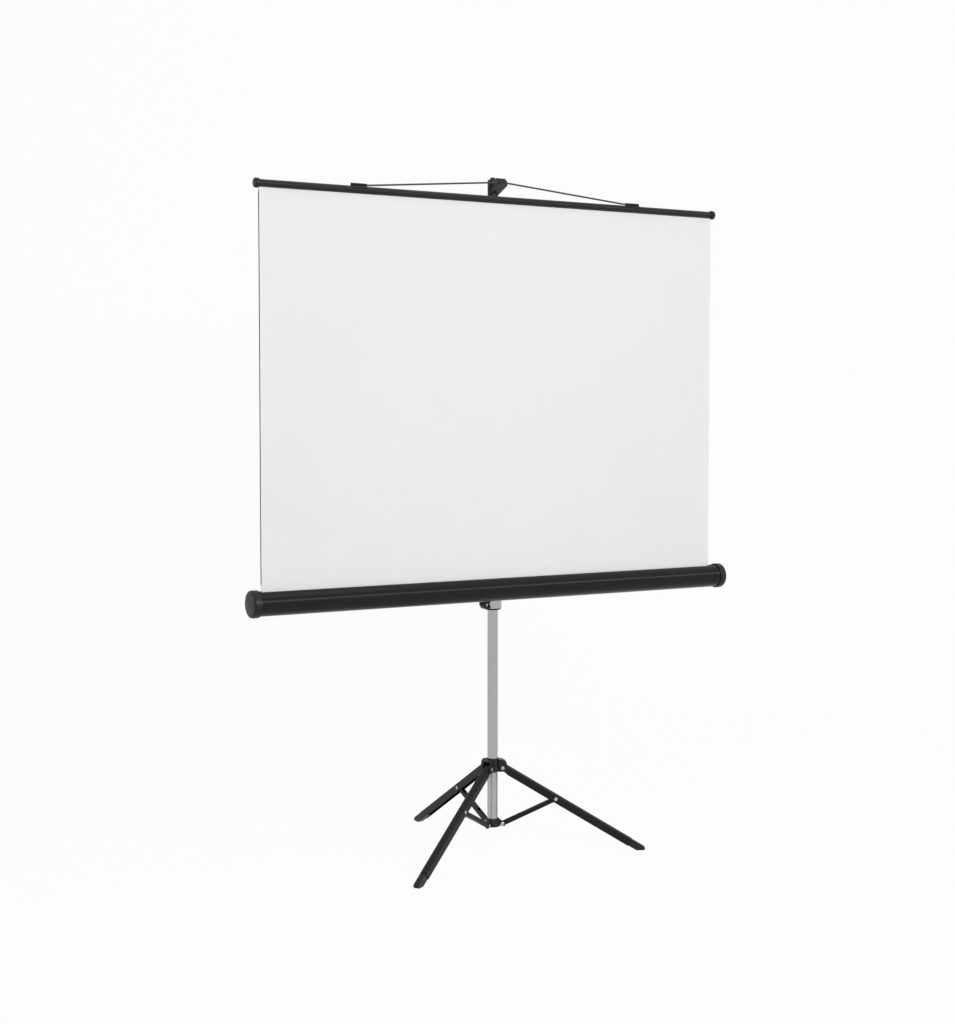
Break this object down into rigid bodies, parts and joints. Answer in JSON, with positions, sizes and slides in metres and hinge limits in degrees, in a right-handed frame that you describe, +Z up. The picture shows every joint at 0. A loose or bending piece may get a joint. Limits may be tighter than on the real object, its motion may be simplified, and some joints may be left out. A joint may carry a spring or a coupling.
{
  "type": "tripod projection screen",
  "caption": "Portable projection screen on a folding tripod: white fabric drawn up from a round black case to a top bar that hangs by a wire bail on a telescoping mast.",
  "frame": {"origin": "on the floor, under the middle of the bounding box", "axes": "+Z up along the column, +X along the case to the right as seen from the front, -Y out of the front of the screen"},
  "size_m": [1.5846, 0.6912, 1.968],
  "materials": {
    "gloss_black": "gloss",
    "black_plastic": "satin",
    "chrome_tube": "polished",
    "bright_steel": "satin",
    "bail_steel": "satin",
    "white_fabric": "matte"
  },
  "bodies": {
    "stand": {"column_tube": "chrome_tube", "column_foot": "black_plastic", "hub_stop_pin": "bright_steel", "mast_guide": "black_plastic"},
    "hub": {"tripod_hub": "black_plastic", "hub_screw": "bail_steel", "leg_rivet_rear": "bright_steel", "leg_rivet_left": "bright_steel", "leg_rivet_right": "bright_steel"},
    "leg_rear": {"leg_rear": "gloss_black", "foot_rear": "black_plastic", "strut_rivet_rear": "bright_steel"},
    "leg_left": {"leg_left": "gloss_black", "foot_left": "black_plastic", "strut_rivet_left": "bright_steel"},
    "leg_right": {"leg_right": "gloss_black", "foot_right": "black_plastic", "strut_rivet_right": "bright_steel"},
    "strut_rear": {"strut_rear": "gloss_black", "strut_foot_rivet_rear": "bright_steel"},
    "strut_left": {"strut_left": "gloss_black", "strut_foot_rivet_left": "bright_steel"},
    "strut_right": {"strut_right": "gloss_black", "strut_foot_rivet_right": "bright_steel"},
    "carrier": {"carrier_body": "black_plastic", "clamp_ring": "bright_steel", "clamp_bolt": "bright_steel", "clamp_nut": "bright_steel", "lever_pin": "bright_steel", "case_pivot_rivet": "bright_steel", "pivot_washer": "bright_steel"},
    "lever": {"height_lever": "black_plastic"},
    "case": {"case_tube": "gloss_black", "end_cap_left": "black_plastic", "end_cap_right": "black_plastic", "case_saddle": "gloss_black", "saddle_rivet_left": "bright_steel", "saddle_rivet_right": "bright_steel", "spring_shaft": "bright_steel", "roller_spring": "bright_steel", "screen_fabric": "white_fabric"},
    "roller": {"roller_tube": "bright_steel", "roller_plug_left": "black_plastic", "roller_plug_right": "black_plastic", "fabric_roll": "white_fabric"},
    "top_bar": {"top_bar": "gloss_black", "fabric_rod": "bright_steel", "bar_cap_left": "black_plastic", "bar_cap_right": "black_plastic", "bail_clip_left": "gloss_black", "bail_clip_right": "gloss_black"},
    "bail": {"bail_wire": "bail_steel"},
    "mast": {"mast_tube": "chrome_tube", "mast_head": "black_plastic", "mast_plug": "black_plastic"},
    "knob": {"mast_knob": "black_plastic"}
  },
  "joints": [
    {"name": "tripod_fold", "type": "slide", "parent": "stand", "child": "hub", "axis": [0, 0, -1], "range_m": [-0.18884, 0]},
    {"name": "leg_fold_rear", "type": "hinge", "parent": "hub", "child": "leg_rear", "pos_m": [-0.00066, -0.07555, 0.249], "axis": [-0.9997, -0.0227, 0], "range_deg": [0, 58.98]},
    {"name": "strut_fold_rear", "type": "hinge", "parent": "leg_rear", "child": "strut_rear", "pos_m": [-0.00422, 0.08123, 0.15468], "axis": [-0.9997, -0.0227, 0], "range_deg": [-124.11, 0]},
    {"name": "leg_fold_left", "type": "hinge", "parent": "hub", "child": "leg_left", "pos_m": [-0.02478, -0.11961, 0.249], "axis": [0.5195, -0.8545, 0], "range_deg": [0, 58.98]},
    {"name": "strut_fold_left", "type": "hinge", "parent": "leg_left", "child": "strut_left", "pos_m": [-0.15878, -0.20108, 0.15468], "axis": [0.5195, -0.8545, 0], "range_deg": [-124.11, 0]},
    {"name": "leg_fold_right", "type": "hinge", "parent": "hub", "child": "leg_right", "pos_m": [0.02544, -0.11847, 0.249], "axis": [0.4802, 0.8771, 0], "range_deg": [0, 58.98]},
    {"name": "strut_fold_right", "type": "hinge", "parent": "leg_right", "child": "strut_right", "pos_m": [0.16299, -0.19378, 0.15468], "axis": [0.4802, 0.8771, 0], "range_deg": [-124.11, 0]},
    {"name": "case_height", "type": "slide", "parent": "stand", "child": "carrier", "axis": [0, 0, 1], "range_m": [0, 0.3]},
    {"name": "height_lever_turn", "type": "hinge", "parent": "carrier", "child": "lever", "pos_m": [-0.0323, -0.12084, 0.7323], "axis": [0, 0, 1], "range_deg": [0, 95]},
    {"name": "case_swivel", "type": "hinge", "parent": "carrier", "child": "case", "pos_m": [0, -0.16624, 0.782], "axis": [0, -1, 0], "range_deg": [-70, 0]},
    {"name": "screen_draw", "type": "slide", "parent": "case", "child": "top_bar", "axis": [0, 0, 1], "range_m": [-1.0612, 0], "deforming": ["screen_fabric"]},
    {"name": "roller_turn", "type": "hinge", "parent": "case", "child": "roller", "pos_m": [0, -0.15824, 0.782], "axis": [1, 0, 0], "range_deg": [0, 3803]},
    {"name": "bail_fold", "type": "hinge", "parent": "top_bar", "child": "bail", "pos_m": [0, -0.17424, 1.9103], "axis": [-1, 0, 0], "range_deg": [-130, 0]},
    {"name": "mast_extend", "type": "slide", "parent": "stand", "child": "mast", "axis": [0, 0, 1], "range_m": [-0.6, 0]},
    {"name": "mast_knob_turn", "type": "hinge", "parent": "stand", "child": "knob", "pos_m": [0, -0.06904, 1.2355], "axis": [0, 1, 0], "range_deg": [-360, 0]}
  ],
  "couplings": [
    {"joint": "leg_fold_rear", "follows": "tripod_fold", "rad_per_m": -5.4506},
    {"joint": "strut_fold_rear", "follows": "tripod_fold", "rad_per_m": 11.471},
    {"joint": "leg_fold_left", "follows": "tripod_fold", "rad_per_m": -5.4506},
    {"joint": "strut_fold_left", "follows": "tripod_fold", "rad_per_m": 11.471},
    {"joint": "leg_fold_right", "follows": "tripod_fold", "rad_per_m": -5.4506},
    {"joint": "strut_fold_right", "follows": "tripod_fold", "rad_per_m": 11.471},
    {"joint": "roller_turn", "follows": "screen_draw", "rad_per_m": -62.5},
    {"joint": "bail_fold", "follows": "screen_draw", "rad_per_m": 2.1378},
    {"joint": "mast_extend", "follows": "screen_draw", "ratio": 0.56521}
  ]
}
